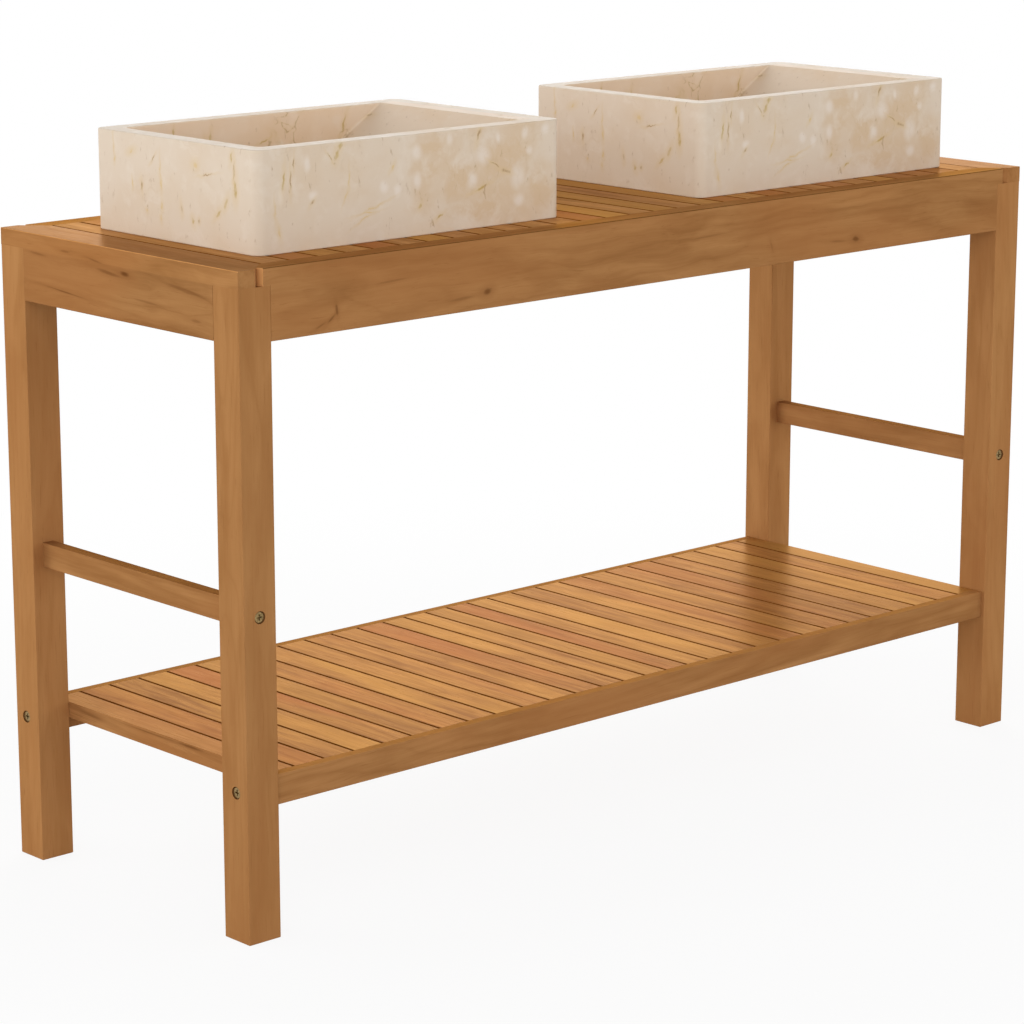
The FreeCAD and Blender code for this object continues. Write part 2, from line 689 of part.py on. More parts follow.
doc.recompute()
for item in doc.Objects:
    if "Invalid" in item.State or "Error" in item.State:
        raise RuntimeError("%s could not be built: %s" % (item.Label, item.State))
for item in pieces:
    if item.Shape.isNull() or not item.Shape.isValid() or not item.Shape.Solids:
        raise RuntimeError("%s has no valid shape" % item.Label)

os.makedirs("parts", exist_ok=True)
for item in pieces:
    item.Shape.exportStep("parts/%s.step" % item.Label)
    box = item.Shape.BoundBox
    print("%-22s solids %2d volume %10.1f x %8.2f..%8.2f y %8.2f..%8.2f z %7.2f..%7.2f" % (
        item.Label, len(item.Shape.Solids), item.Shape.Volume,
        box.XMin, box.XMax, box.YMin, box.YMax, box.ZMin, box.ZMax))
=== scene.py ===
import math
import random

import bpy
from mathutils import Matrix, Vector


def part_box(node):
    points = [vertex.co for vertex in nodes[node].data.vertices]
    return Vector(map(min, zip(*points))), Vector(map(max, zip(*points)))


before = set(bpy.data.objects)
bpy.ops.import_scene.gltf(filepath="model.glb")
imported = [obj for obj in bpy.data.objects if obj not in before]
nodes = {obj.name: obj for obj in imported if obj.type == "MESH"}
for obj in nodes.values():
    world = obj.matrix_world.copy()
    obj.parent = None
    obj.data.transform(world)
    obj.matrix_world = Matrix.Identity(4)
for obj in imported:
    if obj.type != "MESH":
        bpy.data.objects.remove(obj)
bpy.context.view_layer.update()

MM = 0.001
SIDES = ("left", "right")
ENDS = ("front", "back")


def rgb(red, green, blue):
    return (red, green, blue, 1.0)


def shade(colour, light):
    """The colour, lighter or darker."""
    return tuple(c * light for c in colour[:3]) + (1.0,)


WHITE = rgb(1.0, 1.0, 1.0)
DRIFT_DETAIL = 2.0


class Graph:
    """The node tree of a material or of the world, with short ways to add and join its nodes."""

    def __init__(self, owner):
        owner.use_nodes = True
        self.owner = owner
        self.tree = owner.node_tree
        self.tree.nodes.clear()

    def add(self, kind, inputs=None, **settings):
        node = self.tree.nodes.new("ShaderNode" + kind)
        for key, value in settings.items():
            setattr(node, key, value)
        for key, value in (inputs or {}).items():
            self.feed(node.inputs[key], value)
        return node

    def feed(self, socket, value):
        """Link a socket to another, or set its value."""
        if isinstance(value, bpy.types.NodeSocket):
            self.tree.links.new(value, socket)
        else:
            socket.default_value = value

    def place(self):
        """Coordinates of the piece, in metres."""
        return self.add("TexCoord").outputs["Object"]

    def normal(self):
        return self.add("TexCoord").outputs["Normal"]

    def split(self, vector):
        return self.add("SeparateXYZ", {"Vector": vector}).outputs

    def mapped(self, vector, location=(0, 0, 0), rotation=(0, 0, 0), scale=(1, 1, 1)):
        inputs = {"Vector": vector, "Location": location, "Rotation": rotation, "Scale": scale}
        return self.add("Mapping", inputs).outputs["Vector"]

    def far_from(self, vector, centre, rotation, size):
        """Distance from an egg-shaped spot, 1 at the spot's edge."""
        inputs = {"Vector": vector, "Location": centre, "Rotation": rotation, "Scale": size}
        near = self.add("Mapping", inputs, vector_type="TEXTURE").outputs["Vector"]
        return self.add("VectorMath", {0: near}, operation="LENGTH").outputs["Value"]

    def noise(self, vector, scale, detail, roughness, distortion):
        inputs = {"Vector": vector, "Scale": scale, "Detail": detail, "Roughness": roughness,
                  "Distortion": distortion}
        return self.add("TexNoise", inputs).outputs["Fac"]

    def drift(self, vector, scale):
        """Vector that wanders about zero, by half a unit each way."""
        wander = self.add("TexNoise", {"Vector": vector, "Scale": scale, "Detail": DRIFT_DETAIL})
        return self.vector("SUBTRACT", wander.outputs["Color"], (0.5, 0.5, 0.5))

    def vector(self, operation, a, b=(0, 0, 0)):
        return self.add("VectorMath", {0: a, 1: b}, operation=operation).outputs[0]

    def math(self, operation, a, b=0.0):
        return self.add("Math", {0: a, 1: b}, operation=operation).outputs[0]

    def span(self, value, limits, ends=(0.0, 1.0)):
        """Smooth step of a value between two limits, from one end value to the other."""
        inputs = {"Value": value, "From Min": limits[0], "From Max": limits[1], "To Min": ends[0],
                  "To Max": ends[1]}
        return self.add("MapRange", inputs, interpolation_type="SMOOTHSTEP").outputs["Result"]

    def mix(self, factor, a, b):
        """Mix of two colours, by the numbers of the node's sockets, because their names repeat."""
        node = self.add("Mix", data_type="RGBA")
        for index, value in ((0, factor), (6, a), (7, b)):
            self.feed(node.inputs[index], value)
        return node.outputs[2]

    def bump(self, height, strength, distance):
        inputs = {"Height": height, "Strength": strength, "Distance": distance}
        return self.add("Bump", inputs).outputs["Normal"]

    def seen(self):
        """1 for the rays that show the surroundings, 0 for those that only light the object."""
        path = self.add("LightPath").outputs
        mirrored = self.math("MAXIMUM", path["Is Glossy Ray"], path["Is Transmission Ray"])
        return self.math("MAXIMUM", path["Is Camera Ray"], mirrored)

    def surface(self, shader, output="OutputMaterial"):
        self.tree.links.new(shader.outputs[0], self.add(output).inputs["Surface"])
        return self.owner


class Paint(Graph):
    """A material whose colour is laid on in layers."""

    def __init__(self, name):
        super().__init__(bpy.data.materials.new(name))
        self.colour = None

    def tinge(self, share, tone):
        """Lay a share of a tone over the colour."""
        self.colour = self.mix(share, self.colour, tone)

    def ragged(self, far, noise, amount):
        """Distance from a spot, with the spot's edge made ragged by a noise."""
        return self.math("ADD", far, self.math("MULTIPLY", self.math("SUBTRACT", noise, 0.5), amount))


def dress(name, material):
    """Give a CAD node its material."""
    mesh = nodes[name].data
    mesh.materials.clear()
    mesh.materials.append(material)


# Colours of the wood.
FRAME_PALE = rgb(0.424, 0.209, 0.078)
FRAME_DEEP = rgb(0.276, 0.121, 0.040)
FRAME_TINT = rgb(0.345, 0.140, 0.046)
LEG_PALE = rgb(0.402, 0.197, 0.073)
LEG_DEEP = rgb(0.322, 0.146, 0.050)
SLAT_PALE = rgb(0.590, 0.285, 0.088)
SLAT_DEEP = rgb(0.270, 0.102, 0.026)
SLAT_YELLOW = rgb(0.520, 0.265, 0.070)
SLAT_RED = rgb(0.390, 0.130, 0.042)
# Tone of the painted shade beside the gaps between slats.
PAINTED_GAP_SHADE = rgb(0.180, 0.055, 0.004)
TOP_PALE = rgb(0.630, 0.335, 0.145)
TOP_DEEP = rgb(0.300, 0.130, 0.045)
# Dark tone of the pores and knot halos, also laid as painted shade on the rungs' top faces.
PORE_AND_SHADE = rgb(0.200, 0.078, 0.024)
KNOT = rgb(0.140, 0.052, 0.016)
# Dark tone of the painted shade in screw recesses, also laid as a dark line along the top rails' front top
# edge.
GAP = rgb(0.092, 0.036, 0.009)
FIBRE_EDGE = rgb(1.0, 0.62, 0.24)

# Turns that lay a board's grain along the Z axis of its texture, how far the grain strays from it, how far
# from the texture's middle a figure may lie, and the steps between the boards of a row.
GRAIN_TURN = {"x": (0.0, -math.pi / 2, 0.0), "y": (math.pi / 2, 0.0, 0.0), "z": (0.0, 0.0, 0.0)}
GRAIN_STRAY = 0.04
FIGURE_REACH = 2.0
ROW_JUMP = (3.0, 5.0, 7.0)

# Slow bends of the grain: stretch along the grain and scale. Then the size of the bends, in metres.
BEND_STRETCH = 0.45
BEND_SCALE = 22.0
PLAIN_WAVE = 0.004
APRON_WAVE = 0.009

# Noises of the figure: stretch along the grain, then scale, detail, roughness and distortion.
STREAK_NOISE = (0.045, 85.0, 3.0, 0.6, 0.5)
FIBRE_NOISE = (0.02, 430.0, 2.0, 0.6, 0.0)
PORE_NOISE = (0.03, 720.0, 1.0, 0.5, 0.0)
BLOTCH_NOISE = (0.22, 26.0, 3.0, 0.5, 0.8)
WANDER_NOISE = (0.30, 9.0, 2.0, 0.5, 0.3)
GROWTH_NOISE = (0.10, 14.0, 1.0, 0.4, 0.0)
RING_COUNT = 11.0
RING_HALF = 0.5

# Ranges of the noises over which the wood turns from pale to deep, or takes a tint.
BLOTCH_RANGE = (0.34, 0.66)
STREAK_RANGE = (0.34, 0.68)
RING_RANGE = (0.5, 0.0)
FIBRE_RANGE = (0.34, 0.68)
TINT_RANGE = (0.38, 0.66)
LATE_RANGE = (0.62, 0.40)
LATE_RING = (0.0, 0.09)
LATE_SHARE = 0.32
PORE_RANGE = (0.64, 0.78)
PORE_SHARE = 0.30

# Shares of blotches, streaks, growth rings and fibres in a wood's figure.
BOARD_FIGURE = (0.44, 0.24, 0.18, 0.14)
LEG_FIGURE = (0.58, 0.14, 0.16, 0.12)
SLAT_FIGURE = (0.28, 0.36, 0.14, 0.22)

# In a row of boards, random numbers that make a board red or yellow, and how much.
RED_BOARDS = (0.0, 0.5)
RED_SHARE = 0.7
YELLOW_BOARDS = (0.5, 1.0)
YELLOW_SHARE = 0.6

# Halo and core of a knot by the distance from its middle, and how ragged a knot is.
KNOT_HALO = (0.6, 2.6)
HALO_SHARE = 0.35
KNOT_CORE = (0.2, 1.0)
KNOT_RAGGED = 1.4

# Painted shade in screw recesses and beside gaps, and the slopes that count as up, as an edge or as a face.
RECESS_SHADE_EDGE = (0.97, 1.03)
RECESS_SHADE_SHARE = 0.85
GAP_SHADE = (0.5 * MM, 1.6 * MM)
GAP_SHADE_SHARE = 0.9
UPWARD = (0.3, 0.8)
EDGE_SLOPE = (0.05, 0.30)
SQUARE_ON = (0.84, 0.90)

# Surface under the varnish: height of the fibres, pits at the pores, spread of the roughness, and bump.
FIBRE_HEIGHT = 0.5
PIT_RANGE = (0.62, 0.78)
PIT_DEPTH = 0.5
GLOSS_RANGE = (0.3, 0.7)
GLOSS_SPREAD = (-0.04, 0.06)
WOOD_BUMP = (0.10, 0.0003)


class Wood(Paint):
    """Varnished wood with its grain along one axis."""

    def __init__(self, name, grain, seed, wave, row=None):
        """A row, as (start, pitch) along X, gives each board of a node its own figure."""
        super().__init__("wood_" + name)
        draw = random.Random(seed)
        self.at = self.place()
        self.tone = None
        self.dull = None
        spot = self.at
        if row:
            start, pitch = row
            index = self.math("FLOOR", self.boards_along(start, pitch))
            pick = self.add("TexWhiteNoise", {"W": index}, noise_dimensions="1D").outputs
            self.tone = pick["Value"]
            spot = self.vector("ADD", self.at, self.vector("MULTIPLY", pick["Color"], ROW_JUMP))
        turn = list(GRAIN_TURN[grain])
        turn[1 if grain == "x" else 0] += draw.uniform(-GRAIN_STRAY, GRAIN_STRAY)
        turn[2] += draw.uniform(0.0, 2 * math.pi)
        reach = [draw.uniform(-FIGURE_REACH, FIGURE_REACH) for _ in range(3)]
        straight = self.mapped(spot, reach, turn)
        bend = self.drift(self.mapped(straight, scale=(1, 1, BEND_STRETCH)), BEND_SCALE)
        self.along = self.vector("ADD", straight, self.vector("MULTIPLY", bend, (2 * wave,) * 3))
        self.streak = self.stretched(*STREAK_NOISE)
        self.fibre = self.stretched(*FIBRE_NOISE)
        self.pores = self.stretched(*PORE_NOISE)

    def boards_along(self, start, pitch):
        """Place along X, counted in boards of a row."""
        x = self.split(self.at)["X"]
        return self.math("DIVIDE", self.math("SUBTRACT", x, start), pitch)

    def stretched(self, stretch, *noise):
        """Noise drawn out along the grain."""
        return self.noise(self.mapped(self.along, scale=(1, 1, stretch)), *noise)

    def paint(self, pale, deep, tint, tint_share, figure_shares):
        """Figure from pale to deep wood, with patches of a tint, late wood and pores."""
        blotch = self.stretched(*BLOTCH_NOISE)
        wander = self.stretched(*WANDER_NOISE)
        growth = self.stretched(*GROWTH_NOISE)
        ring = self.math("PINGPONG", self.math("MULTIPLY", growth, RING_COUNT), RING_HALF)
        parts = (self.span(blotch, BLOTCH_RANGE), self.span(self.streak, STREAK_RANGE),
                 self.span(ring, RING_RANGE), self.span(self.fibre, FIBRE_RANGE))
        figure = 0.0
        for part, share in zip(parts, figure_shares):
            figure = self.math("ADD", self.math("MULTIPLY", part, share), figure)
        self.colour = self.mix(figure, pale, deep)
        share = self.math("MULTIPLY", self.span(wander, TINT_RANGE), tint_share)
        if self.tone is not None:
            self.tinge(self.span(self.tone, RED_BOARDS, (RED_SHARE, 0.0)), SLAT_RED)
            share = self.math("ADD", share, self.span(self.tone, YELLOW_BOARDS, (0.0, YELLOW_SHARE)))
        self.tinge(share, tint)
        late_ring = self.span(ring, LATE_RING, (LATE_SHARE, 0.0))
        self.tinge(self.math("MULTIPLY", late_ring, self.span(wander, LATE_RANGE)), deep)
        self.tinge(self.span(self.pores, PORE_RANGE, (0.0, PORE_SHARE)), PORE_AND_SHADE)

    def knot(self, centre, rotation, size, depth):
        """Dark core of a knot or a streak, with a soft halo."""
        far = self.ragged(self.far_from(self.at, centre, rotation, size), self.streak, KNOT_RAGGED)
        self.tinge(self.span(far, KNOT_HALO, (HALO_SHARE * depth, 0.0)), PORE_AND_SHADE)
        self.tinge(self.span(far, KNOT_CORE, (depth, 0.0)), KNOT)

    def recess(self, centre, radius):
        """Painted shade inside a screw's recess, darkening the wood."""
        far = self.far_from(self.at, centre, (0, 0, 0), (radius, radius, radius))
        self.tinge(self.span(far, RECESS_SHADE_EDGE, (RECESS_SHADE_SHARE, 0.0)), GAP)

    def gap(self, near):
        """Painted shade beside a gap between slats, dark and dull by its distance from the gap."""
        share = self.span(near, GAP_SHADE, (GAP_SHADE_SHARE, 0.0))
        self.dull = share if self.dull is None else self.math("MAXIMUM", self.dull, share)
        self.tinge(share, PAINTED_GAP_SHADE)

    def upper_face(self, share, tone):
        """Tone of the faces that look up: the slats' tone on the shelf rails, painted shade on the rungs."""
        self.tinge(self.span(self.split(self.normal())["Z"], UPWARD, (0.0, share)), tone)

    def edge(self, one, other, share, tone):
        """Tone of the rounded edge between the faces across two axes: a painted highlight on the end boards,
        a dark line on the top rails.
        """
        facing = self.split(self.vector("ABSOLUTE", self.normal()))
        slope = self.math("MULTIPLY", facing[one], facing[other])
        self.tinge(self.span(slope, EDGE_SLOPE, (0.0, share)), tone)

    def face(self, axis, tone):
        """Painted light: a lighter tone laid on the faces across one axis."""
        facing = self.split(self.vector("ABSOLUTE", self.normal()))
        self.tinge(self.span(facing[axis], SQUARE_ON), tone)

    def varnish(self, sheen, gloss, coat):
        """Finished material. Sheen is the share that the fibres mirror in their own colour, and coat the
        varnish's own white reflection. Dull wood beside a gap mirrors nothing."""
        pits = self.span(self.pores, PIT_RANGE, (0.0, PIT_DEPTH))
        height = self.math("SUBTRACT", self.math("MULTIPLY", self.fibre, FIBRE_HEIGHT), pits)
        roughness = self.span(self.fibre, GLOSS_RANGE, [gloss + step for step in GLOSS_SPREAD])
        metallic = sheen
        if self.dull is not None:
            roughness = self.math("MAXIMUM", roughness, self.dull)
            metallic = self.span(self.dull, (0.0, GAP_SHADE_SHARE), (sheen, 0.0))
        return self.surface(self.add("BsdfPrincipled", {
            "Base Color": self.colour,
            "Metallic": metallic,
            "Specular Tint": FIBRE_EDGE,
            "Roughness": roughness,
            "Specular IOR Level": coat,
            "Normal": self.bump(height, *WOOD_BUMP),
        }))


# Sheen, roughness and coat of the varnish.
FRAME_FINISH = (0.10, 0.44, 0.0)
BOARD_FINISH = (0.24, 0.34, 0.0)
END_FINISH = (0.29, 0.34, 0.006)
SHELF_FINISH = (0.24, 0.31, 0.012)
TOP_FINISH = (0.20, 0.35, 0.001)

# How much lighter or darker some pieces of the frame are than the rest, how far they all vary, and how much
# of the tint they take. The legs other than the front left one are made lighter as painted light, against the
# shade they stand in under the top.
TONES_AND_PAINTED_LIGHT = {"apron_left": 0.87, "top_end_left": 0.92, "apron_front": 0.96, "top_rail_front": 0.96,
         "leg_back_left": 1.09, "leg_back_right": 1.10, "leg_front_right": 1.05}
FRAME_LIGHTS = (0.97, 1.03)
FRAME_TINT_SHARES = (0.2, 0.6)


def frame_piece(name, grain, seed, wave=PLAIN_WAVE, figure=BOARD_FIGURE, pale=FRAME_PALE, deep=FRAME_DEEP):
    """Painted wood of a piece of the frame, before its varnish."""
    light = random.Random(seed).uniform(*FRAME_LIGHTS) * TONES_AND_PAINTED_LIGHT.get(name, 1.0)
    share = random.Random(seed + 1).uniform(*FRAME_TINT_SHARES)
    wood = Wood(name, grain, seed, wave)
    wood.paint(shade(pale, light), shade(deep, light), FRAME_TINT, share, figure)
    return wood


# Knots and dark streaks, in millimetres: place along the board and height, half length, half height, rise in
# degrees and strength.
FRONT_KNOTS = (
    (-297, 707.5, 8, 5, 10, 0.75), (336, 706, 8, 5, -10, 0.75), (-522, 713, 2.2, 8, 8, 0.55),
    (-530, 703, 9, 2, 38, 0.50), (-545, 697.5, 10, 1.8, 22, 0.40), (-335, 704, 26, 2.4, 3, 0.35),
    (300, 706, 24, 2.4, -4, 0.35), (-440, 736, 34, 1.8, 3, 0.30), (60, 735, 40, 1.6, 2, 0.30),
    (180, 712, 3, 12, 20, 0.25),
)
LEFT_KNOTS = (
    (-18.6, 743, 11, 3.4, 4, 0.95), (14, 741, 30, 3.0, 6, 0.55), (106, 709, 54, 1.5, 4.4, 0.60),
    (-130, 738, 56, 3.2, 6.8, 0.45), (40, 752, 26, 1.8, 8, 0.45), (96, 756, 14, 2.2, 0, 0.40),
    (150, 747, 22, 2.0, 3, 0.35), (-60, 716, 34, 1.6, 3, 0.35), (-150, 706, 12, 2.4, 0, 0.40),
)
END_SLAT_STREAKS = (
    (-62, 189, 30, 2.4, 0, 0.75), (20, 188.5, 70, 1.4, 0, 0.55), (130, 184, 30, 2.0, 3, 0.40),
)
KNOT_DEPTH = 6 * MM
front_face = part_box("apron_front")[0].y
left_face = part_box("apron_left")[0].x


def add_front_knots(wood, face, knots):
    for x, z, length, height, rise, depth in knots:
        size = (length * MM, KNOT_DEPTH, height * MM)
        wood.knot((x * MM, face, z * MM), (0, math.radians(-rise), 0), size, depth)


def add_left_knots(wood, face, knots):
    for y, z, length, height, rise, depth in knots:
        size = (KNOT_DEPTH, length * MM, height * MM)
        wood.knot((face, y * MM, z * MM), (math.radians(rise), 0, 0), size, depth)


def add_knots(wood, board):
    """Knots of an apron and of the board of the top frame over it. The back and the right have none."""
    if board == "front":
        add_front_knots(wood, front_face, FRONT_KNOTS)
    if board == "left":
        add_left_knots(wood, left_face, LEFT_KNOTS)


# Seeds of the figures. An apron and the board of the top frame over it share one.
LEG_SEEDS = {("front", "left"): 101, ("front", "right"): 104, ("back", "left"): 108, ("back", "right"): 111}
BOARD_SEEDS = {"front": 11, "back": 23, "left": 37, "right": 41}
BEARER_SEED = 200
RUNG_SEED = 200
SHELF_RAIL_SEED = 300
BLOCK_SEED = 500
TOP_SLAT_SEED = 600
SHELF_SLAT_SEED = 700

# Recesses of the screws in the legs, and shares and tones of single faces and edges, some of them painted
# light and shade.
RECESS = 7.4 * MM
RAIL_EDGE_SHARE = 0.75
# Painted light on the top rails' blunt tips.
RAIL_TIP_PAINTED_LIGHT = shade(FRAME_PALE, 1.6)
# Painted highlight on the end boards' outer top edge.
END_EDGE_HIGHLIGHT = shade(FRAME_PALE, 1.7)
END_HIGHLIGHT_SHARE = 0.45
SHELF_RAIL_SHARE = 0.35
# Painted shade on the rungs' top faces.
RUNG_TOP_SHADE_SHARE = 0.3
shelf_screw_level = sum(c.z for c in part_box("shelf_screws")) / 2


def screw_recesses(end, side):
    """Middles of a leg's two screw recesses, on its front or back face and on its outer side."""
    low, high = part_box("leg_%s_%s" % (end, side))
    rung = sum(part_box("rung_" + side), Vector()) / 2
    rail = sum(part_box("shelf_rail_" + end), Vector()) / 2
    outer_y = low.y if end == "front" else high.y
    outer_x = low.x if side == "left" else high.x
    return (rung.x, outer_y, rung.z), (outer_x, rail.y, shelf_screw_level)


def dress_leg(end, side):
    name = "leg_%s_%s" % (end, side)
    wood = frame_piece(name, "z", LEG_SEEDS[end, side], PLAIN_WAVE, LEG_FIGURE, LEG_PALE, LEG_DEEP)
    # Painted shade in the leg's two screw recesses.
    for centre in screw_recesses(end, side):
        wood.recess(centre, RECESS)
    dress(name, wood.varnish(*FRAME_FINISH))


def dress_long_boards(end):
    """Apron, top rail, bearer and shelf rail of the front or the back."""
    seed = BOARD_SEEDS[end]
    wood = frame_piece("apron_" + end, "x", seed, APRON_WAVE)
    add_knots(wood, end)
    dress("apron_" + end, wood.varnish(*FRAME_FINISH))
    wood = frame_piece("top_rail_" + end, "x", seed, APRON_WAVE)
    add_knots(wood, end)
    wood.edge("Y", "Z", RAIL_EDGE_SHARE, GAP)
    # Painted light on the rail's blunt tips.
    wood.face("X", RAIL_TIP_PAINTED_LIGHT)
    dress("top_rail_" + end, wood.varnish(*BOARD_FINISH))
    wood = frame_piece("top_bearer_" + end, "x", seed + BEARER_SEED)
    dress("top_bearer_" + end, wood.varnish(*FRAME_FINISH))
    wood = frame_piece("shelf_rail_" + end, "x", seed + SHELF_RAIL_SEED)
    wood.upper_face(SHELF_RAIL_SHARE, SLAT_PALE)
    dress("shelf_rail_" + end, wood.varnish(*FRAME_FINISH))


def dress_end_boards(side):
    """Apron, end board and rung of the left or the right."""
    seed = BOARD_SEEDS[side]
    wood = frame_piece("apron_" + side, "y", seed, APRON_WAVE)
    add_knots(wood, side)
    dress("apron_" + side, wood.varnish(*FRAME_FINISH))
    wood = frame_piece("top_end_" + side, "y", seed, APRON_WAVE)
    add_knots(wood, side)
    # Painted highlight along the end board's rounded outer top edge.
    wood.edge("X", "Z", END_HIGHLIGHT_SHARE, END_EDGE_HIGHLIGHT)
    dress("top_end_" + side, wood.varnish(*END_FINISH))
    wood = frame_piece("rung_" + side, "y", seed + RUNG_SEED)
    # Painted shade on the rung's top face.
    wood.upper_face(RUNG_TOP_SHADE_SHARE, PORE_AND_SHADE)
    dress("rung_" + side, wood.varnish(*FRAME_FINISH))


for end in ENDS:
    for side in SIDES:
        dress_leg(end, side)
    dress_long_boards(end)
for side in SIDES:
    dress_end_boards(side)
dress("corner_blocks", frame_piece("corner_blocks", "z", BLOCK_SEED).varnish(*FRAME_FINISH))

# Slats of the top, in one node: the gaps are found from the slats' pitch.
TOP_SLATS = 30
SLAT_GAP = 2.2 * MM
TOP_TINT_SHARE = 0.3
low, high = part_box("top_slats")
pitch = (high.x - low.x + SLAT_GAP) / TOP_SLATS
start = low.x - SLAT_GAP / 2
wood = Wood("top_slats", "y", TOP_SLAT_SEED, PLAIN_WAVE, row=(start, pitch))
wood.paint(TOP_PALE, TOP_DEEP, SLAT_YELLOW, TOP_TINT_SHARE, SLAT_FIGURE)
# Painted shade beside the gaps between the top slats.
part = wood.math("FRACT", wood.boards_along(start, pitch))
off_middle = wood.math("MULTIPLY", wood.math("ABSOLUTE", wood.math("SUBTRACT", part, 0.5)), pitch)
wood.gap(wood.math("SUBTRACT", (pitch - SLAT_GAP) / 2, off_middle))
dress("top_slats", wood.varnish(*TOP_FINISH))

# Slats of the shelf, a node each. The first one is of the frame's wood.
SHELF_TONE = 0.82
SLAT_LIGHTS = (0.92, 1.08)
SLAT_TINTS = (SLAT_YELLOW, SLAT_YELLOW, SLAT_RED)
SLAT_TINT_SHARES = (0.3, 0.9)
END_SLAT_TONE = 1.12
END_SLAT_TINT_SHARE = 0.7
shelf_slats = sorted(n for n in nodes if n.startswith("shelf_slat_"))
for index, name in enumerate(shelf_slats):
    seed = SHELF_SLAT_SEED + index
    draw = random.Random(seed)
    tint = draw.choice(SLAT_TINTS)
    light = SHELF_TONE * draw.uniform(*SLAT_LIGHTS)
    share = draw.uniform(*SLAT_TINT_SHARES)
    low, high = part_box(name)
    wood = Wood(name, "y", seed, PLAIN_WAVE)
    if name == shelf_slats[0]:
        wood.paint(shade(FRAME_PALE, END_SLAT_TONE), FRAME_DEEP, FRAME_TINT, END_SLAT_TINT_SHARE, SLAT_FIGURE)
        add_left_knots(wood, low.x, END_SLAT_STREAKS)
    else:
        wood.paint(shade(SLAT_PALE, light), shade(SLAT_DEEP, light), tint, share, SLAT_FIGURE)
    # Painted shade beside the gaps between the shelf slats.
    x = wood.split(wood.at)["X"]
    if name != shelf_slats[0]:
        wood.gap(wood.math("SUBTRACT", x, low.x))
    if name != shelf_slats[-1]:
        wood.gap(wood.math("SUBTRACT", high.x, x))
    dress(name, wood.varnish(*SHELF_FINISH))

# Colours of the stone.
CREAM = rgb(0.675, 0.565, 0.448)
TAN = rgb(0.62, 0.460, 0.302)
# Painted light: the warm, lighter tone inside the basins, for light bouncing about in them.
BASIN_LIGHT = rgb(0.80, 0.600, 0.425)
PALE = rgb(0.725, 0.635, 0.535)
MILKY = rgb(0.77, 0.695, 0.625)
GOLD = rgb(0.64, 0.47, 0.235)
OCHRE = rgb(0.46, 0.305, 0.085)
BROWN = rgb(0.36, 0.220, 0.105)

# Features of the stone, in millimetres from the middle of a sink's foot, with half length, half width, lean
# from upright in degrees and tone: on the front face as (x, z), on the left face as (y, z), and on the
# basin's back wall and ramp as (x, z). Fossils and clouds lie on the front face, and have no lean or tone.
PALE_FOSSILS = (
    (4, 96, 9, 7), (5, 64, 9, 6), (-26, 56, 8, 6), (-46, 61, 7, 6), (54, 107, 8, 5), (106, 85, 11, 10),
    (89, 58, 9, 7), (160, 55, 12, 11), (163, 28, 7, 9), (172, 106, 8, 5), (-158, 97, 9, 5),
    (131, 105, 6, 4), (180, 84, 5, 5), (-150, 60, 5, 7), (206, 108, 7, 6), (-196, 66, 10, 4),
)
TAN_CLOUDS = (
    (138, 80, 46, 60), (30, 98, 16, 44), (104, 24, 22, 70), (20, 74, 22, 30), (196, 40, 40, 26),
    (70, 60, 34, 40),
)
FRONT_VEINS = (
    (-110, 112, 6, 3.4, 30, OCHRE), (-114, 104, 7, 3.0, 18, OCHRE), (-125, 102, 7, 1.0, -40, BROWN),
    (124, 73, 9, 1.2, 118, BROWN), (141, 63, 9, 2.0, 112, BROWN), (103, 49, 12, 1.6, 72, OCHRE),
    (-60, 40, 18, 0.9, 72, GOLD), (-72, 34, 14, 0.9, 84, GOLD), (-76, 27, 12, 0.9, 66, GOLD),
    (-97, 74, 10, 0.9, 4, GOLD), (-102, 56, 9, 0.9, 22, GOLD), (38, 18, 7, 1.8, 55, OCHRE),
    (-193, 82, 12, 2.2, 6, OCHRE), (-182, 82, 11, 1.4, 2, BROWN), (-200, 26, 8, 1.8, -14, GOLD),
    (-176, 100, 7, 0.9, 0, BROWN), (-150, 52, 5, 1.8, 40, BROWN), (100, 108, 9, 2.0, 20, BROWN),
    (-34, 84, 5, 1.8, 30, GOLD), (10, 34, 4, 2.2, 30, OCHRE), (-205, 50, 10, 1.0, 0, GOLD),
)
LEFT_VEINS = (
    (-108, 106, 6, 2.0, -14, OCHRE), (-112, 92, 11, 1.5, -4, BROWN), (-114, 72, 12, 3.4, 0, OCHRE),
    (-96, 55, 8, 3.0, -30, OCHRE), (-82, 42, 8, 2.4, -42, OCHRE), (-64, 83, 12, 1.0, 100, BROWN),
    (-15, 40, 6, 2.2, 4, BROWN), (-36, 29, 5, 2.4, 10, OCHRE), (-46, 29, 2.4, 2, 0, BROWN),
    (60, 60, 6, 1.6, 6, BROWN), (25, 80, 12, 1.0, 0, GOLD), (25, 66, 9, 1.8, 4, GOLD),
    (23, 40, 6, 1.6, 4, GOLD), (24, 26, 5, 1.8, 0, GOLD), (-42, 93, 5, 4.0, 30, GOLD),
    (114, 102, 13, 1.0, 2, GOLD), (112, 86, 5, 1.6, 0, GOLD), (78, 96, 3, 6, 20, GOLD),
    (38, 92, 6, 1.0, -40, BROWN), (78, 62, 5, 1.2, 0, GOLD), (50, 30, 3, 2.2, 0, GOLD),
)
BASIN_MARKS = (
    (-80, 94, 11, 2.0, 2, OCHRE), (-84, 88, 8, 2.2, -20, BROWN), (-133, 104, 9, 1.2, 4, OCHRE),
    (126, 96, 12, 2.2, 24, OCHRE), (167, 103, 6, 1.6, 70, BROWN), (0, 84, 8, 1.2, 70, OCHRE),
)
SPOT_DEPTH = 9 * MM

